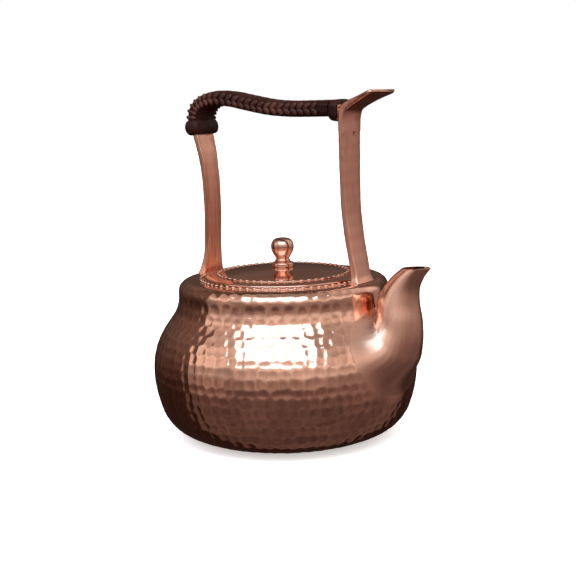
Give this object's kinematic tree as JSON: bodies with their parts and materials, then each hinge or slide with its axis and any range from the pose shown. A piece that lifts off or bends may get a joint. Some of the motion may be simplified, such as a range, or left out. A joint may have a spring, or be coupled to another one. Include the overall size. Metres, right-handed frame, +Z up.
{
  "type": "kettle",
  "caption": "Round hammered copper kettle with a short upright spout, a flat hooped strap handle with a laced leather grip and thumb tab, and a lift-off lid with a small knob.",
  "frame": {"origin": "centre of the flat base, on the surface it stands on", "axes": "+Z up along the body axis, +X towards the spout, +Y across the handle so that the XZ plane is the mirror plane"},
  "size_m": [0.1851, 0.165, 0.2155],
  "materials": {
    "body_copper": "hammered and lacquered copper",
    "bead_copper": "polished copper",
    "spout_copper": "planished copper",
    "strap_copper": "satin copper",
    "lid_copper": "polished copper",
    "knob_copper": "polished copper",
    "grip_leather": "dark brown waxed leather",
    "lace_leather": "brown leather lace"
  },
  "bodies": {
    "kettle": {"body_shell": "body_copper", "mouth_collar": "body_copper", "mouth_bead_ring": "bead_copper", "spout": "spout_copper", "front_leg": "strap_copper", "rear_bar": "strap_copper", "lap_rivets": "strap_copper", "front_foot_burr": "strap_copper", "rear_foot_burr": "strap_copper", "grip_leather": "grip_leather", "grip_lacing_near": "lace_leather", "grip_lacing_far": "lace_leather", "grip_roll_rear": "grip_leather", "grip_roll_front": "grip_leather"},
    "lid": {"lid_shell": "lid_copper", "lid_bead_ring": "bead_copper", "lid_collar": "lid_copper", "lid_knob": "knob_copper", "knob_burr": "knob_copper"}
  },
  "joints": [
    {"name": "lid_lift", "type": "slide", "parent": "kettle", "child": "lid", "axis": [0, 0, 1], "range_m": [0, 0.027]}
  ]
}
